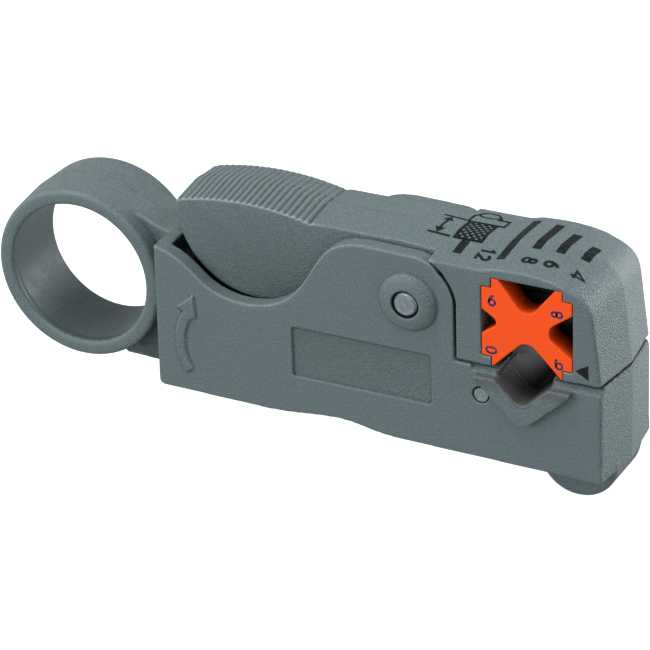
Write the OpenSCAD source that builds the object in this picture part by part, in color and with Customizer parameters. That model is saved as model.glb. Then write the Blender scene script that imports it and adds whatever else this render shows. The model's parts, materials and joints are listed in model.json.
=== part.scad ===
// Coaxial cable stripper: a grey moulded handle with a finger ring, and a sprung thumb
// lever whose head carries two blades and a reversible four-notch cable block.
// Sizes are in millimetres. X runs from the ring to the nose, Y across, Z up.
// Profiles are drawn around the pivot, and every piece is then moved to the frame.

/* [Body] */
// Width of the body and of the head
body_w = 16.12; // [15.6:0.02:17]
// Rear end of the body, measured from the pivot
body_rear = 36.8; // [36:0.1:38]
// Front end of the body at its side faces, measured from the pivot
body_nose = 26.7; // [26:0.1:28]
// How far the nose stands proud at the middle
nose_ridge = 0.94; // [0.3:0.02:1.4]
// Underside of the body below the pivot
body_drop = 20.5; // [19.5:0.1:22]
// Thickness of the side walls of the handle
wall = 2.3; // [1.8:0.05:2.8]
// Thickness of the floor of the handle
floor_t = 2.2; // [1.6:0.1:3]
// Thickness of the rear end wall
end_wall = 1.5; // [1.2:0.05:1.7]
// Bevel along the lower edges
edge_bevel = 0.7; // [0.3:0.05:1]
// Radius of the shoulder that the head swings around
shoulder_r = 6.35; // [6.2:0.05:6.5]
// Top of the lower jaw below the pivot
jaw_drop = 7.25; // [7:0.05:7.6]
// Radius of the round foot under the nose
foot_r = 5.5; // [4.5:0.1:6]
// Width of the round foot
foot_w = 8; // [6:0.2:10]

/* [Finger ring] */
// Inner diameter of the finger ring
ring_bore = 20; // [18:0.1:20.6]
// Wall of the ring at its edges
ring_wall = 2.05; // [1.6:0.05:2.4]
// Extra wall at the middle of the ring
ring_crown = 0.3; // [0.1:0.05:0.5]
// Width of the ring
ring_w = 11.7; // [8:0.1:12.5]
// Distance from the ring centre to the pivot
ring_reach = 49.6; // [49:0.1:50.4]
// Width of the web between ring and body
web_w = 7.2; // [5:0.1:9]

/* [Lever] */
// Fall of the roof-shaped tops, degrees
roof_angle = 5.9; // [3:0.1:8]
// Side clearance between the lever and each wall
lever_side = 0.2; // [0.15:0.05:0.4]
// Gap between the head and the body
head_gap = 0.35; // [0.15:0.05:0.4]
// Number of ribs on the thumb pad
rib_count = 21; // [12:1:24]
// Height of the ribs
rib_h = 0.2; // [0.1:0.05:0.5]

/* [Pins] */
// Diameter of the pivot pin
pivot_d = 3.3; // [2.5:0.1:3.6]
// Diameter of the raised boss around the pivot pin
boss_d = 7.92; // [6:0.1:8.6]
// Height of that boss
boss_h = 1.15; // [0.6:0.05:1.2]
// Diameter of the pin through the cable rest
rest_pin_d = 1.95; // [1.4:0.05:2.2]

/* [Cable block] */
// Size of the square cable block
block_w = 12.5; // [12:0.1:12.6]
// Thickness of the cable block
block_t = 3.2; // [2.6:0.1:3.4]
// Step at each corner of the cable block
block_step = 1.35; // [1:0.05:1.5]
// Clearance around the cable block
block_fit = 0.1; // [0.05:0.01:0.2]

/* [Blades] */
// Thickness of each blade
blade_t = 0.5; // [0.3:0.05:0.6]
// Spacing between the two blades
blade_pitch = 6; // [5:0.1:6.4]
// Thickness of the clamp plate
plate_t = 1.8; // [1.2:0.1:2]
// Thread diameter of the blade screws
screw_d = 2; // [1.6:0.1:2.2]

/* [Return spring] */
// Mean diameter of the return spring
spring_d = 5.4; // [4.8:0.1:6]
// Wire diameter of the return spring
wire_d = 0.6; // [0.4:0.05:0.8]
// Number of turns
spring_turns = 6.5; // [5:0.5:7.5]

/* [Hidden] */
$fn = 96;

grey = "#6b7678";
orange = "#f25a24";
steel = "#b4b8ba";
black = "#17181a";

half_w = body_w / 2;
inner_w = half_w - wall;
lever_w = inner_w - lever_side;
roof = tan(roof_angle);
ridge_slope = nose_ridge / half_w;
tall = 60;

// Ring
ring_x = -ring_reach;
ring_z = -jaw_drop;
ring_ri = ring_bore / 2;
ring_ro = ring_ri + ring_wall;
ring_round = 0.6;
ring_lip = 0.5;

// Underside, which falls a little toward the nose
base_fall = 0.0165;
base_rear = -body_drop + base_fall * body_rear;
base_nose = -body_drop - base_fall * body_nose;
arch_rear = -20.7;
arch_mid = -10.4;
arch_front = -1.0;
arch_h = 1.1;
corner_r = 0.8;
floor_z = -body_drop + floor_t;
seat_z = floor_z + 0.6;
channel_front = 2;
channel_slope = 3;

// Marks on the side walls
arrow_h = 0.3;
arrow_x = -25.4;
arrow_z = -12.6;
arrow_r = 8.55;
arrow_w = 1.3;
arrow_start = 148;
arrow_end = 212;
label_depth = 0.35;
label_rear = -16.95;
label_front = 3;
label_low = -14.4;
label_high = -7.2;
label_r = 0.35;

// Lower jaw
shoulder_start = 80;
shoulder_turn = 48;
shoulder_end = 10;
shoulder_swell = 0.3;
jaw_x = shoulder_r * cos(shoulder_end);
jaw_bevel = 0.9;
head_start = 66;
head_turn = 34;
head_step = 12;
head_x = (shoulder_r + head_gap) * cos(shoulder_end);
head_z = -jaw_drop + head_gap;
foot_x = 21.8;
foot_z = -body_drop + 0.4;

// Cable channel in the lower jaw
notch_x = 16.1;
notch_r = 1.3;
notch_floor = -11.1;
notch_half = 3.7;
collar_h = 1.2;
collar_half = 6.7;
collar_tip = -14.2;
collar_top = -jaw_drop - jaw_bevel;

// Cable rest, a black insert in the lower jaw
rest_front = 22.3;
rest_rear = 8.5;
rest_half = half_w - 3.96;
rest_fit = 0.1;
rest_pin_x = 10;
rest_pin_z = -11.45;
rest_pin_clear = 0.22;

// Cable block in the head
block_x = 16.46;
block_z = -0.6;
block_front = -half_w + 0.06;
block_back = block_front + block_t;
notch_sizes = [4.05, 3.2, 4.0, 2.0];
notch_mouths = [4.7, 3.1, 3.9, 1.75];
notch_rounds = [1.7, 1.5, 1.6, 0.8];

// Blade stack, from the block toward the far wall
screw_head_t = 0.5;
screw_head_d = 1.8 * screw_d;
blade_front = block_back + block_fit + screw_head_t;
holder_front = blade_front + blade_t;
holder_t = blade_pitch - blade_t;
rear_blade_front = holder_front + holder_t;
plate_front = rear_blade_front + blade_t;
plate_back = plate_front + plate_t;
bay_back = plate_back;
bay_half = block_w / 2 - 0.75;
bay_top = 4.2;
bay_fit = 0.1;
blade_top = 2.8;
blade_edge_z = -6.6;
blade_skew = 0.16;
blade_clip = 1.8;
screw_span = bay_half - screw_head_d / 2;
screw_z = 1.2;
screw_fit = 0.05;
cable_arch_r = 3.8;
cable_arch_z = blade_edge_z + 0.7;
holder_low = blade_edge_z + 1;
far_recess = 1.2;
screw_reach = 2.4;
head_sink = 0.2;
slot_w = 0.5;
slot_l = 2.4;
slot_depth = 1.2;

// Pivot
pivot_fit = 0.03;
pin_inset = 0.05;
pin_edge = 0.25;
boss_edge = 0.4;
boss_top_d = pivot_d + 1.5;
pin_sink = 1;
pin_sink_d = pivot_d + 0.5;

// Thumb pad
pad_x = -23;
pad_z = 6;
pad_r = 11.5;
pad_top_x = -24.3;
pad_top_z = 8.6;
pad_top_r = 40;
pad_front = -15.2;
pad_rear = -33.9;
pad_start = 182;
pad_end = 285;
pad_lip = 5.5;
top_z = 7.7;
head_low = 7.2;
head_rear = 3.2;
nose_front = 27.6;
belly_r = 5.6;
belly_start = 235;
belly_end = 290;
belly_z = -4.2;

// Spring seats
spring_x = -23;
seat_top = -6.4;
seat_r = spring_d / 2 + wire_d / 2 + 0.2;
stub_r = spring_d / 2 - wire_d / 2 - 0.35;
stub_h = 1.8;
spring_fit = 0.02;

// Frame: the middle of the outline over the lowest point
frame_x = (body_nose + nose_ridge - ring_reach - ring_ro - ring_crown) / 2;
frame_z = foot_z - foot_r;

function bezier(a, b, c, d, n) =
    [for (i = [1:n]) let (t = i / n, s = 1 - t) s * s * s * a + 3 * s * s * t * b + 3 * s * t * t * c + t * t * t * d];
function arc(cx, cz, r, a0, a1, n) =
    [for (i = [0:n]) let (a = a0 + (a1 - a0) * i / n) [cx + r * cos(a), cz + r * sin(a)]];
function pad_arc(x) = pad_top_z - pad_top_r + sqrt(pad_top_r * pad_top_r - (x - pad_top_x) * (x - pad_top_x));

// Moves a piece from the pivot's axes to the frame
module in_frame() {
    translate([-frame_x, 0, -frame_z]) children();
}

// Sweeps a side profile from y0 to y1
module across(y0, y1) {
    translate([0, y1, 0]) rotate([90, 0, 0]) linear_extrude(y1 - y0) children();
}

// A bar along Y
module bar(d, y0, y1, x = 0, z = 0) {
    translate([x, y1, z]) rotate([90, 0, 0]) cylinder(d = d, h = y1 - y0);
}

// Sweeps a top profile so that it falls away on both sides of the middle
module roofed(turn = [1, 0, 0], angle = roof_angle) {
    for (side = [0, 1]) {
        mirror([0, side, 0]) intersection() {
            rotate(a = -angle, v = turn) across(-2 * body_w, 2 * body_w) children();
            translate([-100, 0, -100]) cube([200, 2 * body_w, 200]);
        }
    }
}

// Side outline of the handle
module body_outline() {
    polygon(concat(
        [[-body_rear, 0.6]],
        bezier([-body_rear, 0.6], [-33.4, 0.1], [-31.6, -1.9], [-29.6, -3.6], 6),
        bezier([-29.6, -3.6], [-26.3, -5.9], [-20.6, -5.95], [-17.2, -3.0], 8),
        bezier([-17.2, -3.0], [-12.6, 1.2], [-13.6, 6.5], [-6.2, 6.7], 10),
        arc(0, 0, shoulder_r + shoulder_swell, shoulder_start, shoulder_turn + head_step, 4),
        arc(0, 0, shoulder_r, shoulder_turn, shoulder_end, 7),
        [[jaw_x, -jaw_drop]],
        [[body_nose + 2, -jaw_drop], [body_nose + 2, base_nose]],
        [[arch_front, -body_drop]],
        bezier([arch_front, -body_drop], [-6, -body_drop], [-7, -body_drop + arch_h], [arch_mid, -body_drop + arch_h], 5),
        bezier([arch_mid, -body_drop + arch_h], [-14, -body_drop + arch_h], [-17, -body_drop + 0.3], [arch_rear, -body_drop + 0.34], 5),
        arc(-body_rear + corner_r, base_rear + corner_r, corner_r, 270, 180, 5)
    ));
}

// Limits the width, with bevelled lower edges
module body_section() {
    rotate([90, 0, 90]) translate([0, 0, -tall]) linear_extrude(2 * tall) polygon([
        [-half_w, 10], [half_w, 10],
        [half_w, -body_drop + edge_bevel + 0.2], [half_w - edge_bevel, -tall],
        [-half_w + edge_bevel, -tall], [-half_w, -body_drop + edge_bevel + 0.2]]);
}

// Nose planes that meet in a ridge at the middle
module nose_limit(nose) {
    plan = [[-100, -half_w - 5], [nose - ridge_slope * 5, -half_w - 5], [nose + nose_ridge, 0],
            [nose - ridge_slope * 5, half_w + 5], [-100, half_w + 5]];
    translate([0, 0, -tall]) linear_extrude(2 * tall) polygon(plan);
}

module finger_ring() {
    e = ring_w / 2;
    section = concat(
        arc(ring_ro - ring_round, e - ring_round, ring_round, 0, 90, 4),
        arc(ring_ri + ring_lip, e - ring_lip, ring_lip, 90, 180, 4),
        arc(ring_ri + ring_lip, -e + ring_lip, ring_lip, 180, 270, 4),
        arc(ring_ro - ring_round, -e + ring_round, ring_round, 270, 360, 4),
        [[ring_ro + ring_crown, 0]]);
    translate([ring_x, 0, ring_z]) rotate([90, 0, 0]) rotate_extrude($fn = 128) polygon(section);
}

module web() {
    difference() {
        intersection() {
            across(-web_w / 2, web_w / 2) polygon([
                [-47.5, 6], [-36, 6], [-36, -19.2], [-44, -18.9], [-47.5, -14]]);
            roofed() polygon([
                [ring_x, 4.75], [-45.4, 4.15], [-41.4, 2.6], [-37.6, 1.1], [-35.9, 0.75],
                [-35.9, -40], [ring_x, -40]]);
        }
        bar(2 * ring_ri + 0.6, -web_w, web_w, ring_x, ring_z);
    }
}

// Cable channel, seen from the side
module notch_outline(half, bottom, top) {
    polygon(concat(
        [[notch_x + half, top], [notch_x + half, -jaw_drop - jaw_bevel]],
        arc(notch_x, bottom + notch_r, notch_r, -45, -135, 6),
        [[notch_x - half, -jaw_drop - jaw_bevel], [notch_x - half, top]]));
}

module collar_outline() {
    polygon([
        [notch_x - collar_half, collar_top], [notch_x - collar_half, collar_top - 0.5],
        [notch_x - 0.7, collar_tip], [notch_x + 0.7, collar_tip],
        [notch_x + collar_half, collar_top - 0.5], [notch_x + collar_half, collar_top]]);
}

// Raised arrow that shows which way to turn the tool
module turn_arrow() {
    polygon(concat(
        arc(arrow_x, arrow_z, arrow_r, arrow_start, arrow_end, 10),
        arc(arrow_x, arrow_z, arrow_r - arrow_w, arrow_end, arrow_start + 3, 10),
        [[arrow_x - 5.5, arrow_z + 3.8], [arrow_x - 5.8, arrow_z + 7], [arrow_x - 8.2, arrow_z + 5]]));
}

module label_field() {
    rounded_rect(label_rear, label_low, label_front, label_high, label_r);
}

module rounded_rect(x0, z0, x1, z1, r) {
    polygon(concat(
        arc(x1 - r, z1 - r, r, 0, 90, 4), arc(x0 + r, z1 - r, r, 90, 180, 4),
        arc(x0 + r, z0 + r, r, 180, 270, 4), arc(x1 - r, z0 + r, r, 270, 360, 4)));
}

module handle_cavity() {
    // Channel for the lever
    across(-inner_w, inner_w) polygon([
        [-body_rear + end_wall, tall], [-body_rear + end_wall, seat_z],
        [channel_front, seat_z], [channel_front + channel_slope, -jaw_drop],
        [jaw_x + 1, -jaw_drop], [jaw_x + 1, tall]]);
    // Seat of the cable rest
    across(-rest_half - rest_fit, rest_half + rest_fit) polygon([
        [rest_rear - rest_fit, 0], [rest_front + rest_fit, 0],
        [rest_front + rest_fit, floor_z], [rest_rear - rest_fit, floor_z]]);
}

// Low dome around the end of the pivot pin
module pivot_boss() {
    h = half_w + boss_h;
    rotate([90, 0, 0]) rotate_extrude() polygon([
        [0, inner_w], [boss_d / 2, inner_w], [boss_d / 2, half_w + boss_edge],
        [0.62 * boss_d / 2 + 0.38 * boss_top_d / 2, h - 0.36 * (boss_h - boss_edge)],
        [boss_top_d / 2, h], [0, h]]);
}

module body() {
    color(grey) in_frame() {
        difference() {
            union() {
                intersection() {
                    across(-half_w, half_w) body_outline();
                    body_section();
                    nose_limit(body_nose);
                }
                finger_ring();
                web();
                intersection() {
                    bar(2 * foot_r, -foot_w / 2, foot_w / 2, foot_x, foot_z);
                    translate([0, -foot_w, -tall]) cube([tall, 2 * foot_w, tall - body_drop + 1]);
                }
                for (side = [0, 1]) {
                    mirror([0, side, 0]) pivot_boss();
                }
                for (side = [0, 1]) {
                    mirror([0, side, 0]) across(-half_w - collar_h, -half_w + 1) collar_outline();
                }
                across(-half_w - arrow_h, -half_w + 1) turn_arrow();
                translate([spring_x, 0, floor_z]) cylinder(r = stub_r, h = seat_z - floor_z + stub_h);
            }
            difference() {
                handle_cavity();
                translate([spring_x, 0, floor_z - 1]) cylinder(r = stub_r, h = seat_z - floor_z + stub_h + 1);
            }
            // Cable channel and bevelled ledge of the lower jaw
            across(-body_w, body_w) notch_outline(notch_half, notch_floor, 0);
            for (side = [0, 1]) {
                mirror([0, side, 0]) translate([jaw_x + 2.4, 0, 0]) rotate([90, 0, 90]) linear_extrude(tall)
                    polygon([[-half_w - 2, -jaw_drop - jaw_bevel], [-half_w, -jaw_drop - jaw_bevel],
                             [-half_w + jaw_bevel, -jaw_drop], [-half_w + jaw_bevel, 2], [-half_w - 2, 2]]);
            }
            // Label fields
            across(-body_w, -half_w + label_depth) label_field();
            across(half_w - label_depth, body_w) label_field();
            // Pin holes
            bar(pivot_d, -body_w, body_w);
            bar(pin_sink_d, -body_w, -half_w - boss_h + pin_sink);
            bar(pin_sink_d, half_w + boss_h - pin_sink, body_w);
            bar(rest_pin_d, -body_w, body_w, rest_pin_x, rest_pin_z);
            bar(rest_pin_d + 2 * rest_pin_clear, -body_w, -half_w + 1, rest_pin_x, rest_pin_z);
            bar(rest_pin_d + 2 * rest_pin_clear, half_w - 1, body_w, rest_pin_x, rest_pin_z);
        }
    }
}

// Ribbed thumb pad: crests touch the pad's arc, valleys lie below it
function rib_line(x0, x1) = [
    for (i = [0:6 * rib_count]) let (x = x0 + (x1 - x0) * i / (6 * rib_count))
        [x, pad_arc(x) - rib_h * (1 - abs(sin(180 * i / 6)))]];

module lever_top() {
    polygon(concat(
        [[-tall, -tall], [-tall, head_low - 0.2]],
        rib_line(pad_rear, pad_front),
        [[pad_front + 0.9, top_z - 0.1], [-2, top_z], [6, head_low], [12, head_low], [12, -tall]]));
}

// Top and nose of the head at the middle
module head_top() {
    polygon(concat(
        [[-20, -tall], [-20, head_low + 0.1], [11, head_low + 0.1]],
        [[12.6, 7.72]],
        bezier([12.6, 7.72], [17, 8.1], [20.5, 7.85], [23.4, 6.6], 8),
        bezier([23.4, 6.6], [25.4, 5.75], [26.1, 4.6], [26.3, 2.6], 6),
        [[nose_front, head_z - 1], [nose_front, -tall]]));
}

module lever_side_outline() {
    polygon(concat(
        [[pad_rear, tall], [pad_x - pad_r, pad_lip]],
        arc(pad_x, pad_z, pad_r, pad_start, pad_end, 16),
        [[pad_front + 0.2, belly_z], [-6, belly_z - 0.2]],
        arc(0, 0, belly_r, belly_start, belly_end, 8),
        [[head_x + 2, -belly_r - 0.2], [head_x + 2, tall]]));
}

module head_side_outline() {
    polygon(concat(
        arc(0, 0, shoulder_r + shoulder_swell + 0.6 * head_gap, head_start, head_turn + head_step, 4),
        arc(0, 0, shoulder_r + head_gap, head_turn, shoulder_end, 5),
        [[head_x, head_z]],
        [[body_nose + 3, head_z], [body_nose + 3, tall], [head_rear, tall]]));
}

module head_skew() {
    // The nose and the top both fall away from the middle
    skew = atan(sqrt(roof * roof + ridge_slope * ridge_slope));
    roofed([roof, 0, -ridge_slope], skew) head_top();
}

module corner_steps(size, step) {
    h = size / 2;
    polygon([
        [-h + step, h], [h - step, h], [h - step, h - step], [h, h - step],
        [h, -h + step], [h - step, -h + step], [h - step, -h], [-h + step, -h],
        [-h + step, -h + step], [-h, -h + step], [-h, h - step], [-h + step, h - step]]);
}

module lever() {
    color(grey) in_frame() difference() {
        union() {
            intersection() {
                across(-lever_w, lever_w) lever_side_outline();
                roofed() lever_top();
            }
            intersection() {
                across(-half_w, half_w) head_side_outline();
                head_skew();
            }
            translate([spring_x, 0, seat_top]) cylinder(r = seat_r, h = 3);
            translate([spring_x, 0, seat_top - stub_h]) cylinder(r = stub_r, h = stub_h + 1);
        }
        bar(pivot_d + 2 * pivot_fit, -body_w, body_w);
        // Window for the cable block, open downward
        across(-body_w, block_back + block_fit) translate([block_x, block_z]) corner_steps(block_w + 2 * block_fit, block_step);
        across(-body_w, block_back + block_fit) polygon([
            [block_x - block_w / 2 + block_step - block_fit, head_z - 1], [block_x + block_w / 2 - block_step + block_fit, head_z - 1],
            [block_x + block_w / 2 - block_step + block_fit, head_z + 2], [block_x - block_w / 2 + block_step - block_fit, head_z + 2]]);
        // Bay for the blade stack
        across(block_back - 0.5, bay_back) polygon([
            [block_x - bay_half, head_z - 1], [block_x + bay_half, head_z - 1],
            [block_x + bay_half, bay_top], [block_x - bay_half, bay_top]]);
        // Cable outlet in the far wall
        across(bay_back - 1, body_w) polygon(concat(
            [[notch_x + 4.6, head_z - 1], [notch_x + 4.6, head_z]], arc(notch_x, head_z + 2.5, 1.9, 40, 140, 8),
            [[notch_x - 4.6, head_z], [notch_x - 4.6, head_z - 1]]));
        for (side = [-1, 1]) {
            bar(screw_d + 2 * screw_fit, bay_back - 1, body_w, block_x + side * screw_span, screw_z);
            bar(screw_head_d + 0.3, half_w - far_recess, body_w, block_x + side * screw_span, screw_z);
        }
    }
}

module pivot_pin() {
    h = half_w + boss_h - pin_inset;
    color(steel) in_frame() union() {
        bar(pivot_d, -h + pin_edge, h - pin_edge);
        for (side = [0, 1]) {
            mirror([0, side, 0]) translate([0, -h, 0]) rotate([-90, 0, 0]) cylinder(d1 = pivot_d - 2 * pin_edge, d2 = pivot_d, h = pin_edge);
        }
    }
}

// One cable notch of the block, cut from an edge at the given depth
module block_notch(depth, half, r) {
    h = block_w / 2;
    polygon(concat([[half, -h - 1], [half, -h]], arc(0, -h + depth - r, r, 38, 142, 8), [[-half, -h], [-half, -h - 1]]));
}

module cable_block() {
    color(orange) in_frame() across(block_front, block_back) translate([block_x, block_z]) difference() {
        corner_steps(block_w, block_step);
        for (i = [0:3]) rotate(90 * i) block_notch(notch_sizes[i], notch_mouths[i], notch_rounds[i]);
    }
}

module stack_outline(drop) {
    polygon([
        [block_x - bay_half + bay_fit, drop], [block_x + bay_half - bay_fit, drop],
        [block_x + bay_half - bay_fit, bay_top - bay_fit], [block_x - bay_half + bay_fit, bay_top - bay_fit]]);
}

module holder_outline() {
    difference() {
        stack_outline(holder_low);
        translate([notch_x, cable_arch_z]) circle(r = cable_arch_r);
    }
}

module screw_holes(d, y0, y1) {
    for (side = [-1, 1]) {
        bar(d, y0, y1, block_x + side * screw_span, screw_z);
    }
}

module blade_holder() {
    color(black) in_frame() difference() {
        across(holder_front, rear_blade_front) holder_outline();
        screw_holes(screw_d, holder_front - 1, rear_blade_front + 1);
    }
}

// Blade with a skewed cutting edge, ground from both faces
module blade(y0) {
    x0 = block_x - bay_half + bay_fit;
    x1 = block_x + bay_half - bay_fit;
    difference() {
        across(y0, y0 + blade_t) polygon([
            [x0, blade_top], [x0, blade_edge_z + blade_clip], [x0 + blade_clip, blade_edge_z],
            [x1, blade_edge_z + blade_skew * (x1 - x0 - blade_clip)], [x1, blade_top]]);
        screw_holes(screw_d + 2 * screw_fit, y0 - 1, y0 + 2);
    }
}

module front_blade() {
    color(steel) in_frame() blade(blade_front);
}

module rear_blade() {
    color(steel) in_frame() blade(rear_blade_front);
}

module clamp_plate() {
    color(black) in_frame() difference() {
        across(plate_front, plate_back) holder_outline();
        screw_holes(screw_d + 2 * screw_fit, plate_front - 1, plate_back + 1);
    }
}

// Screw that holds the blade stack from the far side, with a cross slot in its head
module holder_screw(side) {
    x = block_x + side * screw_span;
    color(black) in_frame() difference() {
        union() {
            bar(screw_d, rear_blade_front - screw_reach, half_w - far_recess + 0.1, x, screw_z);
            bar(screw_head_d, half_w - far_recess, half_w - head_sink, x, screw_z);
        }
        translate([x, half_w, screw_z]) cube([slot_w, slot_depth, slot_l], center = true);
        translate([x, half_w, screw_z]) cube([slot_l, slot_depth, slot_w], center = true);
    }
}

module rear_holder_screw() {
    holder_screw(-1);
}

module front_holder_screw() {
    holder_screw(1);
}

// Flat-headed screw of the front blade
module blade_screw(side) {
    x = block_x + side * screw_span;
    color(black) in_frame() union() {
        bar(screw_d, blade_front - 0.1, holder_front + screw_reach, x, screw_z);
        bar(screw_head_d, blade_front - screw_head_t, blade_front, x, screw_z);
    }
}

module rear_blade_screw() {
    blade_screw(-1);
}

module front_blade_screw() {
    blade_screw(1);
}

module cable_rest() {
    color(black) in_frame() difference() {
        across(-rest_half, rest_half) difference() {
            polygon([
                [rest_rear, floor_z], [rest_front, floor_z], [rest_front, -jaw_drop - 0.5],
                [rest_rear, -jaw_drop - 0.5]]);
            translate([0, -0.5]) notch_outline(notch_half + 0.5, notch_floor - 0.5, 0);
        }
        bar(rest_pin_d, -body_w, body_w, rest_pin_x, rest_pin_z);
    }
}

module rest_pin() {
    color(steel) in_frame() bar(rest_pin_d, -half_w + 0.1, half_w - 0.1, rest_pin_x, rest_pin_z);
}

// Compression spring between the floor and the thumb pad
module return_spring() {
    z0 = seat_z + wire_d / 2 + spring_fit;
    z1 = seat_top - wire_d / 2 - spring_fit;
    steps = spring_turns * 18;
    sides = 6;
    dead = 1;
    function lift(t) = t < dead ? t * wire_d
        : t > spring_turns - dead ? (z1 - z0) - (spring_turns - t) * wire_d
        : dead * wire_d + (t - dead) / (spring_turns - 2 * dead) * ((z1 - z0) - 2 * dead * wire_d);
    rings = [for (i = [0:steps]) let (t = i / 18, a = 360 * t) [
        for (j = [0:sides - 1]) let (b = 360 * j / sides, r = spring_d / 2 + wire_d / 2 * cos(b))
            [r * cos(a), r * sin(a), z0 + lift(t) + wire_d / 2 * sin(b)]]];
    points = [for (ring = rings) for (p = ring) p];
    walls = [for (i = [0:steps - 1]) for (j = [0:sides - 1])
        [i * sides + j, i * sides + (j + 1) % sides, (i + 1) * sides + (j + 1) % sides, (i + 1) * sides + j]];
    start = [for (j = [sides - 1:-1:0]) j];
    finish = [for (j = [0:sides - 1]) steps * sides + j];
    color(steel) in_frame() translate([spring_x, 0, 0]) polyhedron(points, concat(walls, [start, finish]));
}

body();
lever();
pivot_pin();
cable_block();
blade_holder();
front_blade();
rear_blade();
clamp_plate();
rear_holder_screw();
front_holder_screw();
rear_blade_screw();
front_blade_screw();
cable_rest();
rest_pin();
return_spring();
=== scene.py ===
import json
from math import cos, pi, radians, sin

import bmesh
import bpy
import numpy as np
from mathutils import Matrix, Vector
from mathutils.bvhtree import BVHTree


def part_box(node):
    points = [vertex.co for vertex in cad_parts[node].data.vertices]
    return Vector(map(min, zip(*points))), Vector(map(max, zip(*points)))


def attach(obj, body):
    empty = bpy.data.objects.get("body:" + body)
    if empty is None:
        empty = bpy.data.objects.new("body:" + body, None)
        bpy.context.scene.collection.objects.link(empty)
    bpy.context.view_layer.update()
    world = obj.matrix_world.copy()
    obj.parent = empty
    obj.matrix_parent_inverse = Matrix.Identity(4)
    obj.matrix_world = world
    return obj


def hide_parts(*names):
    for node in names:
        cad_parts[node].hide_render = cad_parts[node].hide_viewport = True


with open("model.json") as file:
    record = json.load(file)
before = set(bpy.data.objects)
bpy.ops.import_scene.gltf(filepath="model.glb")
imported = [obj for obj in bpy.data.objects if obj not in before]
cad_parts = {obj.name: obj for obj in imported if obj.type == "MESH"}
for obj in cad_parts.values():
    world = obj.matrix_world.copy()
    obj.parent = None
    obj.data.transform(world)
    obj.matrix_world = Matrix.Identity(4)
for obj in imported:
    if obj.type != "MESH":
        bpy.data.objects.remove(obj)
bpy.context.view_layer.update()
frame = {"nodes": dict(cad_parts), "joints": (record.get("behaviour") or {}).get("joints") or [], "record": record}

MM = 0.001
nodes = frame["nodes"]

# The pivot is the reference point of the tool: places below are measured from it, in millimetres,
# with x toward the nose, y from the marked side to the far side and z up
PIVOT = Vector(frame["joints"][0]["pos_m"])
HALF_WIDTH = 8.06
ROOF_ANGLE = radians(5.9)
REST_PIN = (10.0, -11.45)
RING_CENTRE, RING_RADIUS = (-49.6, -7.25), 10.0
PAD_FRONT = -14.3
CHANNEL_X, CHANNEL_FLOOR = 16.1, -11.1
HANDLE_JAW, HEAD_JAW = -7.25, -6.9
INK_LIFT = 0.012

# Camera, fitted to the photograph
CAMERA_YAW = radians(26.9087)
CAMERA_ELEVATION = radians(27.968)
CAMERA_ROLL = radians(-1.7035)
CAMERA_LENS = 265.408
CAMERA_PLACE = Vector((235.164, -495.017, 284.063))

# Colours
GREY = (0.090, 0.128, 0.133)
# Painted highlight: the pale grey that upward edges and grain tips are mixed toward
HIGHLIGHT_GREY = (0.42, 0.48, 0.49)
# Painted shade in the cable channel and on its collar
CHANNEL_SHADE = (0.050, 0.046, 0.043)
# Painted shade: the near black of gaps, seams, depths and contact shadow
SHADE_BLACK = (0.003, 0.0035, 0.004)
ORANGE = (0.80, 0.070, 0.004)
# Painted shade at the back of the block's notches
NOTCH_SHADE_ORANGE = (0.085, 0.0035, 0.001)
BLACK = (0.006, 0.0065, 0.007)
GROUND_EDGE = (0.19, 0.195, 0.20)
SKY = (0.93, 0.965, 1.0, 1)

# Cutting edge of the blades: its level where x is 0 in the frame, its rise per length, and how
# high above it the ground band ends
EDGE_LEVEL, EDGE_RISE = PIVOT.z - (6.6 + 0.16 * (PIVOT.x / MM + 12.86)) * MM, 0.16
EDGE_BAND = (0.0019, 0.0022)

# Skins of the two mouldings: voxel in millimetres, and the share of triangles that is kept
VOXEL, KEEP = ((0.14, 0.18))
SKIN_ROUNDS, NOSE_ROUNDS = 7, 24
WELD = 1e-6


def place(x, y, z):
    """A point given in millimetres from the pivot, in the frame."""
    return PIVOT + Vector((x, y, z)) * MM


def new_object(name, mesh, body):
    piece = bpy.data.objects.new(name, mesh)
    bpy.context.scene.collection.objects.link(piece)
    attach(piece, body)


def make_camera():
    toward = Vector((-sin(CAMERA_YAW) * cos(CAMERA_ELEVATION), cos(CAMERA_YAW) * cos(CAMERA_ELEVATION),
                     -sin(CAMERA_ELEVATION)))
    level = Vector((cos(CAMERA_YAW), sin(CAMERA_YAW), 0))
    upright = level.cross(toward)
    right = level * cos(CAMERA_ROLL) + upright * sin(CAMERA_ROLL)
    up = right.cross(toward)
    data = bpy.data.cameras.new("camera")
    data.lens = CAMERA_LENS
    data.sensor_width = 36
    data.clip_start = 0.01
    camera = bpy.data.objects.new("camera", data)
    turn = Matrix((right, up, -toward)).transposed().to_4x4()
    camera.matrix_world = Matrix.Translation(place(*CAMERA_PLACE)) @ turn
    bpy.context.scene.collection.objects.link(camera)
    bpy.context.scene.camera = camera


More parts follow.
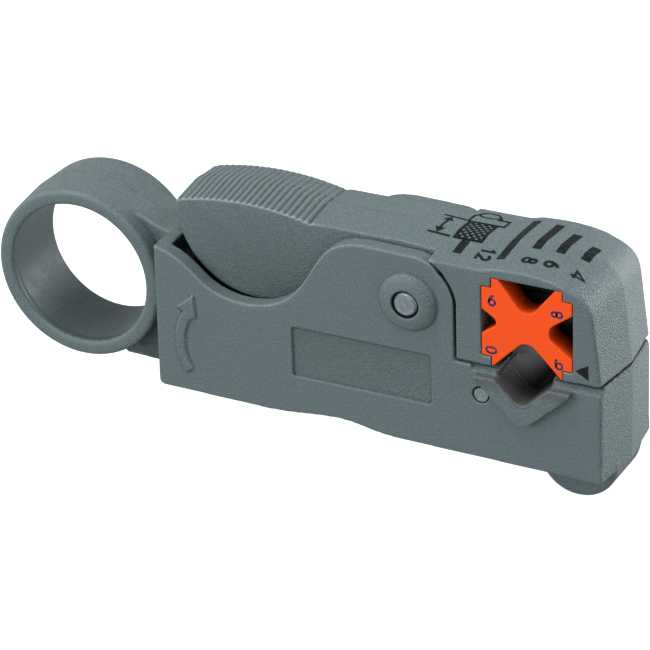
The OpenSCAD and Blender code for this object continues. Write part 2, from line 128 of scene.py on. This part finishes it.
class Nodes:
    """Small helper that builds a material's node tree."""

    def __init__(self, name):
        self.material = bpy.data.materials.new(name)
        self.material.use_nodes = True
        self.tree = self.material.node_tree
        self.shader = self.tree.nodes["Principled BSDF"]

    def add(self, kind, **values):
        node = self.tree.nodes.new(kind)
        for key, value in values.items():
            if key in node.inputs:
                node.inputs[key].default_value = value
            else:
                setattr(node, key, value)
        return node

    def put(self, value, entry):
        """Links a socket to an input, or sets the input to a constant."""
        if isinstance(value, bpy.types.NodeSocket):
            self.tree.links.new(value, entry)
        else:
            entry.default_value = value

    def finish(self, colour, roughness, normal):
        """Sets the shader's three inputs that vary over the surface."""
        self.put(colour, self.shader.inputs["Base Color"])
        self.put(roughness, self.shader.inputs["Roughness"])
        self.put(normal, self.shader.inputs["Normal"])

    def colour(self):
        return self.shader.inputs["Base Color"].links[0].from_socket

    def position(self, kind="Object"):
        return self.add("ShaderNodeTexCoord").outputs[kind]

    def split(self, vector):
        node = self.add("ShaderNodeSeparateXYZ")
        self.put(vector, node.inputs[0])
        return node.outputs

    def stored(self, name):
        """A value that the mesh stores per point, which is 0 where it stores none."""
        return self.add("ShaderNodeAttribute", attribute_name=name).outputs["Fac"]

    def noise(self, scale, detail, roughness):
        node = self.add("ShaderNodeTexNoise", Scale=scale, Detail=detail, Roughness=roughness)
        self.put(self.position(), node.inputs["Vector"])
        return node.outputs["Fac"]

    def remap(self, value, low, high, start=0.0, end=1.0):
        node = self.add("ShaderNodeMapRange")
        node.inputs["From Min"].default_value = start
        node.inputs["From Max"].default_value = end
        node.inputs["To Min"].default_value = low
        node.inputs["To Max"].default_value = high
        self.put(value, node.inputs["Value"])
        return node.outputs["Result"]

    def math(self, operation, *terms):
        node = self.add("ShaderNodeMath", operation=operation)
        for term, entry in zip(terms, node.inputs):
            self.put(term, entry)
        return node.outputs[0]

    def times(self, first, second):
        return self.math("MULTIPLY", first, second)

    def mix(self, factor, first, second):
        """Blends two colours, each of them a socket or a constant."""
        node = self.add("ShaderNodeMix", data_type="RGBA")
        for colour, entry in ((first, node.inputs[6]), (second, node.inputs[7])):
            self.put((*colour, 1) if isinstance(colour, tuple) else colour, entry)
        self.put(factor, node.inputs["Factor"])
        return node.outputs[2]

    def bump(self, height, strength, distance, before=None):
        node = self.add("ShaderNodeBump", Strength=strength, Distance=distance)
        self.put(height, node.inputs["Height"])
        if before:
            self.put(before, node.inputs["Normal"])
        return node.outputs["Normal"]


def scaled(colour, factor):
    return tuple(c * factor for c in colour)


def grained(m, colour, grain, gloss, mottle, relief):
    """Fine grain and faint flow marks: gives the grain, the colour, the roughness and the normal."""
    fine = m.noise(grain, 2.0, 0.6)
    broad = m.noise(90, 3.0, 0.6)
    smear = m.noise(420, 4.0, 0.7)
    blend = m.times(m.remap(fine, 0.0, 1.0, 0.3, 0.7), m.remap(broad, 0.85, 1.15))
    shade = m.mix(blend, scaled(colour, 1 - mottle), scaled(colour, 1 + mottle))
    normal = m.bump(m.times(fine, m.remap(m.stored("polish"), 1.0, 0.15)), 1.0, relief)
    normal = m.bump(smear, 0.12, relief / 2, normal)
    rough = m.remap(smear, gloss - 0.05, gloss + 0.07, 0.3, 0.7)
    return fine, shade, rough, normal


def smooth_plastic(name, colour, gloss, mottle, specular):
    """Moulded plastic that hands don't touch."""
    m = Nodes(name)
    m.shader.inputs["Specular IOR Level"].default_value = specular
    m.shader.inputs["IOR"].default_value = 1.45
    m.finish(*grained(m, colour, 3000, gloss, mottle, 0.00006)[1:])
    return m


def plastic_with_painted_light(name, colour):
    """Grained plastic with a painted highlight that makes upward edges and grain tips paler, smoother upward
    edges, painted shade in inner corners, in the cable channel and in gaps, and a parting line.
    """
    m = Nodes(name)
    m.shader.inputs["Specular IOR Level"].default_value = 0.5
    m.shader.inputs["IOR"].default_value = 1.45
    fine, shade, rough, normal = grained(m, colour, 4600, 0.5, 0.2, 0.0002)
    bend, upward, wear_and_highlight = m.stored("edge"), m.split(m.position("Normal"))["Z"], 0.4
    # Painted highlight: upward edges and the grain's tips on upward faces are made paler; the edges are also made
    # smoother
    crest = m.times(m.remap(bend, 0.0, wear_and_highlight, 0.54, 0.95), m.remap(upward, 0.1, 1.0, 0.0, 0.3))
    tips = m.times(m.remap(fine, 0.0, 0.16, 0.52, 0.72), m.remap(upward, 0.0, 1.0, 0.2, 0.7))
    shade = m.mix(m.math("MAXIMUM", crest, tips), shade, HIGHLIGHT_GREY)
    # Painted shade: inner corners are darkened
    shade = m.mix(m.remap(bend, 0.75, 0.0, 0.28, 0.46), shade, scaled(colour, 0.12))
    # Painted shade in the cable channel and on its collar
    shade = m.mix(m.stored("channel_shade"), shade, CHANNEL_SHADE)
    # Painted shade: near black in gaps, seams, depths and as contact shadow
    shade = m.mix(m.stored("painted_shade"), shade, SHADE_BLACK)
    rough = m.math("SUBTRACT", rough, m.remap(crest, 0.0, 0.1, 0.0, wear_and_highlight))
    rough = m.math("MULTIPLY_ADD", m.stored("polish"), -0.03, rough)
    m.finish(shade, rough, parting_line(m, normal))
    return m


def parting_line(m, before):
    """A fine witness line along the middle behind the pivot, and a lip inside the finger ring."""
    spot, bore = m.split(m.position()), m.stored("polish")
    behind = m.times(m.remap(spot["X"], 1.0, 0.0, 0.015, 0.017), m.remap(bore, 1.0, 0.0))
    upward = m.remap(m.split(m.position("Normal"))["Z"], 0.0, 1.0, 0.2, 0.4)
    middle = m.remap(m.math("ABSOLUTE", spot["Y"]), 1.0, 0.0, 0.00004, 0.00012)
    before = m.bump(m.times(m.times(middle, behind), upward), 0.9, 0.00012, before)
    inward = m.remap(spot["Y"], 1.0, 0.0, -0.00495, -0.00445)
    return m.bump(m.times(inward, bore), 1.0, 0.0004, before)


def block_plastic(name):
    """Orange plastic of the cable block, with painted shade that darkens it toward the back of its notches."""
    m = smooth_plastic(name, ORANGE, 0.42, 0.05, 0.25)
    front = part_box("cable_block")[0].y
    # Painted shade deepening toward the back of the notches
    depth = m.remap(m.split(m.position())["Y"], 0.0, 0.9, front + 0.0002, front + 0.0030)
    m.put(m.mix(depth, m.colour(), NOTCH_SHADE_ORANGE), m.shader.inputs["Base Color"])
    return m


def turning_marks(m):
    """Concentric marks around the axis of a pin that lies along Y."""
    centred = m.add("ShaderNodeMapping")
    centred.inputs["Location"].default_value = (-0.5, 0, -0.5)
    centred.inputs["Scale"].default_value = (1, 0, 1)
    m.put(m.position("Generated"), centred.inputs["Vector"])
    reach = m.add("ShaderNodeVectorMath", operation="LENGTH")
    m.put(centred.outputs["Vector"], reach.inputs[0])
    marks = m.add("ShaderNodeTexNoise", noise_dimensions="1D", Scale=22, Detail=3)
    m.put(reach.outputs["Value"], marks.inputs["W"])
    return marks.outputs["Fac"]


def steel(name, colour, roughness, streak=(1.0, 1.0, 1.0), scale=2500, turned=False):
    """Satin steel with fine machining marks along the directions where streak is small."""
    m = Nodes(name)
    stretch = m.add("ShaderNodeMapping")
    stretch.inputs["Scale"].default_value = streak
    m.put(m.position(), stretch.inputs["Vector"])
    marks = m.add("ShaderNodeTexNoise", Scale=scale, Detail=3.0, Roughness=0.6)
    m.put(stretch.outputs["Vector"], marks.inputs["Vector"])
    spots = m.remap(m.noise(1500, 4.0, 0.7), 0.0, 1.0, 0.35, 0.65)
    shade = m.mix(spots, scaled(colour, 0.62), scaled(colour, 1.1))
    normal = m.bump(marks.outputs["Fac"], 0.25, 0.00003)
    if turned:
        rings = turning_marks(m)
        normal = m.bump(rings, 0.5, 0.00006, normal)
        shade = m.mix(m.remap(rings, 0.0, 0.7, 0.45, 0.7), shade, scaled(colour, 1.7))
    m.shader.inputs["Metallic"].default_value = 1.0
    m.finish(shade, m.remap(marks.outputs["Fac"], roughness - 0.08, roughness + 0.12, 0.3, 0.7), normal)
    return m


def blade_finish(name):
    """Blackened blade with a ground band along its cutting edge."""
    m = steel(name, (0.022, 0.022, 0.024), 0.45, (0.12, 1.0, 1.0))
    spot = m.split(m.position())
    above = m.math("MULTIPLY_ADD", spot["X"], -EDGE_RISE, spot["Z"])
    band = m.remap(above, 0.0, 1.0, EDGE_LEVEL + EDGE_BAND[0], EDGE_LEVEL + EDGE_BAND[1])
    m.put(m.mix(band, GROUND_EDGE, m.colour()), m.shader.inputs["Base Color"])
    return m


def ink(name, colour):
    """Pad-printed ink, a little uneven."""
    m = Nodes(name)
    m.shader.inputs["Specular IOR Level"].default_value = 0.08
    wear_and_highlight = m.noise(2600, 3.0, 0.7)
    shade = m.mix(m.remap(wear_and_highlight, 0.0, 1.0, 0.45, 0.8), colour, scaled(colour, 6.0))
    m.finish(shade, m.remap(wear_and_highlight, 0.45, 0.6), m.bump(wear_and_highlight, 0.2, 0.00002))
    return m


def make_materials():
    made = {
        "grey_plastic": plastic_with_painted_light("grey_plastic", GREY),
        "orange_plastic": block_plastic("orange_plastic"),
        "black_plastic": smooth_plastic("black_plastic", BLACK, 0.55, 0.10, 0.2),
        "pin_steel": steel("pin_steel", (0.235, 0.285, 0.30), 0.42, scale=1800, turned=True),
        "blade_steel": blade_finish("blade_steel"),
        "spring_steel": steel("spring_steel", (0.33, 0.33, 0.34), 0.35),
        "black_steel": steel("black_steel", (0.045, 0.045, 0.05), 0.4),
        "ink": ink("ink", (0.0055, 0.0068, 0.0075)),
        "block_ink": ink("block_ink", (0.022, 0.016, 0.050)),
    }
    return {name: m.material for name, m in made.items()}


def dress_nodes(materials):
    for entry in frame["record"]["subparts"]:
        node = nodes[entry["node"]]
        node.data.materials.clear()
        node.data.materials.append(materials[entry["material_slot"]])


def soften_block():
    """Breaks the sharp edges of the cable block."""
    block = nodes["cable_block"]
    weld = block.modifiers.new("weld", "WELD")
    weld.merge_threshold = WELD
    bevel = block.modifiers.new("edges", "BEVEL")
    bevel.width = 0.14 * MM
    bevel.segments = 2
    bevel.limit_method = "ANGLE"
    bevel.angle_limit = radians(40)
    bevel.use_clamp_overlap = True


def read_points(mesh):
    co = np.empty(len(mesh.vertices) * 3)
    mesh.vertices.foreach_get("co", co)
    return co.reshape(-1, 3)


def read_edges(mesh):
    """The two ends of every edge, and the number of edges at every point."""
    ends = np.empty(len(mesh.edges) * 2, np.int64)
    mesh.edges.foreach_get("vertices", ends)
    a, b = ends.reshape(-1, 2).T
    count = len(mesh.vertices)
    return a, b, np.bincount(a, minlength=count) + np.bincount(b, minlength=count)


def from_pivot(co):
    """Points in millimetres from the pivot, as x, y and z."""
    return ((co - np.array(PIVOT)) / MM).T


def relax(mesh, rounds, hold):
    """Moves each point toward its neighbours' mean, less where hold(point) is near 1."""
    count = len(mesh.vertices)
    co = read_points(mesh)
    a, b, degree = read_edges(mesh)
    free = (1 - hold(co))[:, None]
    for _ in range(rounds):
        total = np.zeros_like(co)
        for axis in range(3):
            total[:, axis] = np.bincount(a, co[b, axis], count) + np.bincount(b, co[a, axis], count)
        co += 0.5 * free * (total / degree[:, None] - co)
    mesh.vertices.foreach_set("co", co.ravel())
    mesh.update()


def store(mesh, name, values):
    mesh.attributes.new(name, "FLOAT", "POINT").data.foreach_set("value", values)


def mark_edges(mesh):
    """Stores, per point, how far the surface bends: above 0.5 on outer edges and below in inner corners."""
    count = len(mesh.vertices)
    co = read_points(mesh)
    normals = np.empty(count * 3)
    mesh.vertex_normals.foreach_get("vector", normals)
    normals = normals.reshape(-1, 3)
    a, b, degree = read_edges(mesh)
    along = co[b] - co[a]
    length = np.linalg.norm(along, axis=1)
    along /= np.maximum(length, 1e-9)[:, None]
    turn = np.einsum("ij,ij->i", normals[b] - normals[a], along)
    bend = (np.bincount(a, turn, count) + np.bincount(b, turn, count)) / degree
    bend = 0.5 * bend + 0.5 * (np.bincount(a, bend[b], count) + np.bincount(b, bend[a], count)) / degree
    x, _, z = from_pivot(co)
    gain = np.where((x < PAD_FRONT) & (z > 4.5), 1.7, 1.0)
    store(mesh, "edge", np.clip(0.5 + gain * bend, 0, 1))


def mark_body(mesh):
    """Stores, per point, the painted shade in the channel, in the gaps and in the depths, and the polish in the
    finger ring.
    """
    x, y, z = from_pivot(read_points(mesh))
    side = np.abs(y)
    # Cable channel, with painted shade that deepens toward the inside, and painted shade on the top of its collar
    half = 0.9 + (z - CHANNEL_FLOOR) * 0.95
    wall = (np.abs(x - CHANNEL_X) < half + 0.14) & (z > -11.5) & (z < -7.6)
    depth = np.clip((y + 9.1) / 1.2, 0, 1)
    collar = (y < -8.3) & (z > -9.8) & (np.abs(x - CHANNEL_X) < 7)
    top = 0.5 * np.clip((z + 9.8) / 0.6, 0, 1)
    store(mesh, "channel_shade", np.where(wall, 0.6 + 0.38 * depth, np.where(collar, top, 0.0)))
    # Painted shade in the gaps round the two pins, along the jaw and at the shoulder
    pivot = np.sqrt(x * x + z * z)
    rest = np.sqrt((x - REST_PIN[0]) ** 2 + (z - REST_PIN[1]) ** 2)
    gap = np.maximum(np.clip((2.02 - pivot) / 0.15, 0, 1), np.clip((1.25 - rest) / 0.15, 0, 1))
    jaw = (np.abs(z - HANDLE_JAW) < 0.25) & (x > 9) & ((side > 7.2) | (x > 25.8)) & (side < 8.0)
    shoulder = (np.abs(pivot - 6.25) < 0.16) & (x > 0) & (z > -1) & (side < 7.95)
    seam = np.maximum(0.65 * jaw, 0.7 * shoulder)
    # Finger ring: smooth bore with painted shade that darkens it below, and painted shade on the lower side of the
    # web
    reach = np.sqrt((x - RING_CENTRE[0]) ** 2 + (z - RING_CENTRE[1]) ** 2)
    bore = (np.abs(reach - RING_RADIUS) < 0.3) & (side < 5.4)
    low = 0.5 * np.clip((-12.5 - z) / 3.5, 0, 1) * np.clip((x + 60) / 5, 0, 1)
    under = (x > -42) & (x < -35.9) & (side < 5) & ~bore
    web = 0.5 * np.clip((-11 - z) / 4, 0, 1) * under
    shaded = np.maximum(seam, np.where(bore, low, np.where(side > 7.5, gap, web)))
    # Painted shade deep inside the body, between its walls
    inside = (side < 5.9) & (x > -35.3) & (x < 24) & (z > -18.3) & (z < 3)
    store(mesh, "painted_shade", np.maximum(shaded, np.where(inside, 0.8, 0.0)))
    store(mesh, "polish", np.where(bore, 1.0, 0.0))


def mark_lever(mesh):
    """Stores, per point, painted shade in the seams and depths, and painted shade along the handle's scooped
    walls.
    """
    x, y, z = from_pivot(read_points(mesh))
    side = np.abs(y)
    # Painted shade in the jaw seam, at the shoulder and on the lever's lower inside
    jaw = (np.abs(z - HEAD_JAW) < 0.25) & (x > 9) & (side < 8.0)
    pivot = np.sqrt(x * x + z * z)
    shoulder = (np.abs(pivot - 6.75) < 0.2) & (x > 0) & (z > -1) & (side < 7.95) & (side > 5.8)
    depth = (side < 5.6) & (z < -7.6) & (x < 9)
    painted_shade = np.where(depth, 0.8, np.where(jaw | shoulder, 0.65, 0.0))
    # Painted contact shadow on the lever's sides, darker the closer they come to the body
    solid = nodes["body"].data
    walls = BVHTree.FromPolygons([v.co for v in solid.vertices], [p.vertices for p in solid.polygons])
    gap = np.full(len(x), 9.0)
    for i in np.flatnonzero((x < -4) & (side > 4.5) & (z < 4.5)):
        gap[i] = walls.find_nearest(mesh.vertices[i].co)[3] / MM
    store(mesh, "painted_shade", np.maximum(painted_shade, 0.5 * np.clip(1 - gap, 0, 1)))


def body_hold(co):
    """Keeps the arrow, the label field and the small steps of the body crisp."""
    x, y, z = from_pivot(co)
    near = np.abs(y) > 7.3
    arrow = near & (x > -35) & (x < -30.3) & (z < -5) & (z > -18)
    label = near & (x > -18) & (x < 4.5) & (z < -6.3) & (z > -15.3)
    boss = near & (x * x + z * z < 20)
    holes = near & ((x * x + z * z < 4.5) | ((x - REST_PIN[0]) ** 2 + (z - REST_PIN[1]) ** 2 < 2.6))
    return np.where(arrow | label | holes, 0.97, np.where(boss, 0.5, 0.0))


def lever_hold(co):
    """Keeps the window and the near part of the pad's ribs crisp."""
    x, y, z = from_pivot(co)
    ribs = (x < PAD_FRONT) & (z > 5.2) & (y < 1.5)
    window = (x > 9.5) & (x < 23.5) & (z < 6) & (y < -7)
    return np.where(ribs, 0.9, np.where(window, 0.8, 0.0))


def nose_hold(co, edge):
    """Holds all but the upright edges of the nose, so that they are rounded more."""
    x, y, z = from_pivot(co)
    front = np.clip((x - edge(z) + 1.5) / 0.6, 0, 1)
    outer = np.clip((np.abs(y) - 5.9) / 0.8, 0, 1)
    inside = np.clip((z + 19.4) / 0.8, 0, 1) * np.clip(np.abs(z + 7.1) - 0.35, 0, 0.4) / 0.4
    return 1 - front * outer * inside


def body_nose_edge(z):
    return 26.7


def head_nose_edge(z):
    return np.interp(z, [-7, 2.4, 4.9, 6.3], [26.6, 25.3, 24.3, 22.5])


def apply_modifiers(piece):
    depsgraph = bpy.context.evaluated_depsgraph_get()
    mesh = bpy.data.meshes.new_from_object(piece.evaluated_get(depsgraph))
    piece.modifiers.clear()
    piece.data = mesh


def rounded_copy(node, name, body, hold, nose_edge, mark):
    """Replaces a moulding by a remeshed and relaxed copy, which has rounded edges."""
    source = nodes[node]
    piece = bpy.data.objects.new(name, source.data.copy())
    bpy.context.scene.collection.objects.link(piece)
    weld = piece.modifiers.new("weld", "WELD")
    weld.merge_threshold = WELD
    remesh = piece.modifiers.new("remesh", "REMESH")
    remesh.mode = "VOXEL"
    remesh.voxel_size = VOXEL * MM
    apply_modifiers(piece)
    relax(piece.data, SKIN_ROUNDS, hold)
    relax(piece.data, NOSE_ROUNDS, lambda co: nose_hold(co, nose_edge))
    thin = piece.modifiers.new("thin", "DECIMATE")
    thin.ratio = KEEP
    apply_modifiers(piece)
    for polygon in piece.data.polygons:
        polygon.use_smooth = True
    mark_edges(piece.data)
    mark(piece.data)
    piece.data.materials.clear()
    piece.data.materials.append(source.data.materials[0])
    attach(piece, body)
    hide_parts(node)


def flat_mesh(name, outlines):
    """A mesh of polygons, each given as a list of points."""
    mesh = bpy.data.meshes.new(name)
    points, faces = [], []
    for outline in outlines:
        faces.append(list(range(len(points), len(points) + len(outline))))
        points += [tuple(p) for p in outline]
    mesh.from_pydata(points, [], faces)
    mesh.update()
    return mesh


def arc(x, y, across, up, start, end, steps=20):
    """Points along part of an ellipse, with its angles in degrees."""
    angles = [radians(start + (end - start) * i / steps) for i in range(steps + 1)]
    return [(x + across * cos(a), y + up * sin(a)) for a in angles]


# Centre lines of the digits, for a height of one with its stroke
DIGITS = {
    "0": [arc(0, 0, 0.26, 0.43, 0, 360)],
    "1": [[(-0.17, 0.25), (0.04, 0.43), (0.04, -0.43)]],
    "2": [arc(0, 0.19, 0.24, 0.24, 165, -30) + [(-0.26, -0.43), (0.28, -0.43)]],
    "4": [[(0.36, -0.18), (-0.36, -0.18), (0.13, 0.47), (0.13, -0.43)]],
    "6": [arc(0, -0.17, 0.26, 0.26, 0, 360), arc(0.24, -0.17, 0.50, 0.60, 180, 103)],
    "8": [arc(0, 0.22, 0.20, 0.21, 0, 360), arc(0, -0.20, 0.25, 0.23, 0, 360)],
}


def ribbon(points, width):
    """Quads that follow a line of points, with mitred corners."""
    closed = (points[0] - points[-1]).length < 1e-6
    last = len(points) - 1
    sides = []
    for i, point in enumerate(points):
        before = points[i - 1] if i else points[-2 if closed else 0]
        after = points[i + 1] if i < last else points[1 if closed else -1]
        first = (point - before).normalized()
        second = (after - point).normalized()
        along = (first + second).normalized()
        side = Vector((-along.y, along.x))
        leg = second if second.length else first
        lean = max(0.5, side.dot(Vector((-leg.y, leg.x))))
        sides.append(side * width / 2 / lean)
    quads = []
    for i in range(last):
        a, b = points[i], points[i + 1]
        quads.append([Vector((*(a - sides[i]), 0)), Vector((*(b - sides[i + 1]), 0)),
                      Vector((*(b + sides[i + 1]), 0)), Vector((*(a + sides[i]), 0))])
    return quads


def digit_strokes(text, height, stroke):
    """The digits as quads in their own plane, centred, in millimetres."""
    pitch = 0.74 * height
    quads = []
    for index, digit in enumerate(text):
        shift = Vector(((index - (len(text) - 1) / 2) * pitch, 0))
        for path in DIGITS[digit]:
            quads += ribbon([Vector(p) * height + shift for p in path], stroke)
    return quads


def cut_finer(mesh, length):
    """Splits long edges so that a mark can follow a curved surface."""
    bm = bmesh.new()
    bm.from_mesh(mesh)
    bmesh.ops.triangulate(bm, faces=bm.faces[:])
    for _ in range(6):
        long_edges = [e for e in bm.edges if e.calc_length() > length]
        if not long_edges:
            break
        bmesh.ops.subdivide_edges(bm, edges=long_edges, cuts=1)
        bmesh.ops.triangulate(bm, faces=bm.faces[:])
    bm.to_mesh(mesh)
    bm.free()


def print_on_top(name, flat, surface, materials):
    """Drops a mark, drawn in X and Y in millimetres from the pivot, onto the top of the head."""
    cut_finer(flat, 0.45)
    for v in flat.vertices:
        start = place(v.co.x, v.co.y, 20)
        hit = surface.ray_cast(start, Vector((0, 0, -1)))[0]
        v.co = hit + Vector((0, 0, INK_LIFT * MM))
    flat.materials.append(materials["ink"])
    new_object(name, flat, "thumb_lever")


# Strip-length scale on the head: middle x, near end y and width of each bar, and x, y and stroke of
# each numeral
BARS = {12: (11.7, -5.4, 1.2), 8: (15.2, -2.05, 1.2), 6: (18.4, -1.85, 1.25), 4: (21.75, -1.6, 1.25)}
NUMERALS = {"12": (9.25, -4.45, 0.5), "8": (15.55, -4.85, 0.5), "6": (18.5, -4.65, 0.5),
            "4": (22.15, -4.8, 0.42)}
NUMERAL_HEIGHT = 2.05


def strip_bars(surface, materials):
    """The strip-length scale: each bar is as long as its number says, along the roof-shaped top."""
    for length, (x, near, width) in BARS.items():
        left, right, far = x - width / 2, x + width / 2, near + length * cos(ROOF_ANGLE)
        outline = [(left, near, 0), (right, near, 0), (right, far, 0), (left, far, 0)]
        print_on_top(f"bar_{length}", flat_mesh("bar", [outline]), surface, materials)
    for digits, (x, y, stroke) in NUMERALS.items():
        flat = flat_mesh("numeral", digit_strokes(digits, NUMERAL_HEIGHT, stroke))
        flat.transform(Matrix.Translation((x, y, 0)) @ Matrix.Rotation(-pi / 2, 4, "Z"))
        print_on_top(f"numeral_{digits}", flat, surface, materials)


def line(x0, y0, x1, y1, width):
    along = Vector((x1 - x0, y1 - y0, 0)).normalized()
    side = Vector((-along.y, along.x, 0)) * width / 2
    a, b = Vector((x0, y0, 0)), Vector((x1, y1, 0))
    return [a - side, b - side, b + side, a + side]


def cable_pictogram(surface, materials):
    """A stripped cable end, with the strip length between two witness lines."""
    left, right, sleeve_end, braid_end, core_end = 3.75, 7.6, 3.1, -2.05, -5.35
    core_left, core_right, sleeve_top = 5.0, 6.2, 5.0
    thin, stroke, broad, frame_end = 0.34, 0.36, 0.46, 0.4
    shapes = []
    # Sheath, seen as a band with the cut end of the cable behind it
    rim = [(left - 0.3, sleeve_end), (left - 0.3, sleeve_top), (left + 0.2, sleeve_top + 1.0)]
    rim += arc(left + 1.6, sleeve_top + 0.75, 1.4, 0.95, 165, 15) + [(right - 0.3, sleeve_top)]
    edge = [(right - 0.3, sleeve_top), (right + 0.85, sleeve_top), (right + 0.85, sleeve_end),
            (left - 0.3, sleeve_end)]
    cut = arc(left + 1.6, sleeve_top + 0.85, 1.45, 0.8, 180, 350)
    for path in (rim, edge, cut):
        shapes += ribbon([Vector(p) for p in path], stroke)
    shapes.append(line(left - 0.45, sleeve_end, right + 1.0, sleeve_end, broad))
    shapes.append(line(left + 2.9, sleeve_top, right + 1.0, sleeve_top, broad))
    # Braid: a frame and a lattice of crossing strands, and the core under it
    for x in (left, right):
        shapes.append(line(x, sleeve_end, x, braid_end, stroke))
    shapes.append(line(left - 0.18, braid_end, right + 0.18, braid_end, frame_end))
    rows, columns = 5, 4
    pitch_x, pitch_y = (right - left) / columns, (sleeve_end - braid_end) / rows
    for row in range(rows):
        for column in range(columns):
            x, y = left + column * pitch_x, braid_end + row * pitch_y
            shapes.append(line(x, y, x + pitch_x, y + pitch_y, thin))
            shapes.append(line(x + pitch_x, y, x, y + pitch_y, thin))
    shapes.append([Vector((x, y, 0)) for x, y in ((core_left, core_end), (core_right, core_end),
                                                  (core_right, braid_end), (core_left, braid_end))])
    # Witness lines and the arrow between them
    for y in (sleeve_end, braid_end):
        shapes.append(line(left - 3.7, y, left - 0.55, y, broad))
    arrow_x = left - 2.5
    for tip, toward in ((braid_end + 0.15, 1), (sleeve_end - 0.15, -1)):
        barbs = [(arrow_x - 0.75, tip + toward * 1.3), (arrow_x, tip), (arrow_x + 0.75, tip + toward * 1.3)]
        shapes.append([Vector((x, y, 0)) for x, y in barbs])
    shapes.append(line(arrow_x, braid_end + 1.1, arrow_x, sleeve_end - 1.1, stroke))
    print_on_top("cable_pictogram", flat_mesh("pictogram", shapes), surface, materials)


# Marks of the block's four notches: digit, x, z and turn in degrees
BLOCK_MARKS = [("6", 11.7, 2.55, 0), ("8", 20.65, 2.35, 90), ("0", 11.55, -4.6, -90), ("6", 20.8, -4.7, 28)]
POINTER = [(23.15, -5.05), (25.0, -6.15), (25.0, -3.95)]


def block_digits(materials):
    """Size marks of the four notches, each turned with its notch."""
    front = (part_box("cable_block")[0].y - PIVOT.y) / MM
    for index, (digit, x, z, angle) in enumerate(BLOCK_MARKS):
        flat = flat_mesh("digit", digit_strokes(digit, 1.65, 0.29))
        turn = Matrix.Rotation(radians(angle), 4, "Z")
        for v in flat.vertices:
            p = turn @ v.co
            v.co = place(x + p.x, front - INK_LIFT, z + p.y)
        flat.materials.append(materials["block_ink"])
        new_object(f"block_mark_{index + 1}", flat, "block")


def pointer(materials):
    """The printed triangle beside the window."""
    mesh = flat_mesh("pointer", [[place(x, -HALF_WIDTH - INK_LIFT, z) for x, z in POINTER]])
    mesh.materials.append(materials["ink"])
    new_object("pointer", mesh, "thumb_lever")


def make_marks(materials):
    surface = BVHTree.FromObject(nodes["lever"], bpy.context.evaluated_depsgraph_get())
    strip_bars(surface, materials)
    cable_pictogram(surface, materials)
    block_digits(materials)
    pointer(materials)


def make_stage():
    """A pale floor that curves up into a backdrop, and that the camera sees as plain white."""
    half_width, back, height, bend, steps = 1.44, 0.75, 1.0, 0.25, 12
    profile = [(-1.2, 0.0), (back - bend, 0.0)]
    angles = [pi / 2 * i / steps for i in range(1, steps + 1)]
    profile += [(back - bend + bend * sin(a), bend - bend * cos(a)) for a in angles]
    profile.append((back, height))
    points = [(side * half_width, y, z) for y, z in profile for side in (-1, 1)]
    faces = [(2 * i, 2 * i + 1, 2 * i + 3, 2 * i + 2) for i in range(len(profile) - 1)]
    mesh = bpy.data.meshes.new("stage")
    mesh.from_pydata(points, [], faces)
    for polygon in mesh.polygons:
        polygon.use_smooth = True
    stage = bpy.data.objects.new("stage", mesh)
    stage.matrix_world = Matrix.Rotation(CAMERA_YAW, 4, "Z")
    bpy.context.scene.collection.objects.link(stage)
    m = Nodes("stage_white")
    m.shader.inputs["Base Color"].default_value = (0.35, 0.35, 0.35, 1)
    m.shader.inputs["Roughness"].default_value = 0.9
    m.shader.inputs["Emission Color"].default_value = (1, 1, 1, 1)
    seen = m.add("ShaderNodeLightPath").outputs["Is Camera Ray"]
    m.put(m.remap(seen, 0.13, 0.97), m.shader.inputs["Emission Strength"])
    mesh.materials.append(m.material)


def make_world():
    """Soft light from all sides, behind which the camera sees white."""
    world = bpy.data.worlds.new("studio")
    world.use_nodes = True
    tree = world.node_tree
    background = tree.nodes["Background"]
    background.inputs["Color"].default_value = SKY
    background.inputs["Strength"].default_value = 0.84
    path = tree.nodes.new("ShaderNodeLightPath")
    white = tree.nodes.new("ShaderNodeBackground")
    white.inputs["Strength"].default_value = 1.0
    mix = tree.nodes.new("ShaderNodeMixShader")
    tree.links.new(path.outputs["Is Camera Ray"], mix.inputs[0])
    tree.links.new(background.outputs[0], mix.inputs[1])
    tree.links.new(white.outputs[0], mix.inputs[2])
    tree.links.new(mix.outputs[0], tree.nodes["World Output"].inputs["Surface"])
    bpy.context.scene.world = world


def soft_light(name, spot, size, power, colour=(1.0, 1.0, 1.0), spread=180, aim=(0, 0, 0.02)):
    data = bpy.data.lights.new(name, "AREA")
    data.shape = "RECTANGLE"
    data.size, data.size_y = size
    data.energy = power
    data.color = colour
    data.spread = radians(spread)
    lamp = bpy.data.objects.new(name, data)
    lamp.location = spot
    lamp.visible_camera = False
    lamp.rotation_euler = (Vector(aim) - Vector(spot)).to_track_quat("-Z", "Y").to_euler()
    bpy.context.scene.collection.objects.link(lamp)


def make_lights():
    soft_light("key", (-0.20, -0.12, 0.78), (0.4, 0.35), 4.2, (1.0, 0.95, 0.93))
    soft_light("front", (-0.60, -0.70, 0.30), (0.5, 0.5), 4.6)
    soft_light("nose", (0.14, 0.16, 0.035), (0.08, 0.08), 0.037, spread=44, aim=(0.044, 0.0, 0.014))


def main():
    make_camera()
    materials = make_materials()
    dress_nodes(materials)
    soften_block()
    make_marks(materials)
    rounded_copy("body", "body_skin", "handle", body_hold, body_nose_edge, mark_body)
    rounded_copy("lever", "lever_skin", "thumb_lever", lever_hold, head_nose_edge, mark_lever)
    make_stage()
    make_world()
    make_lights()


main()
bpy.context.scene.view_settings.view_transform = "Standard"
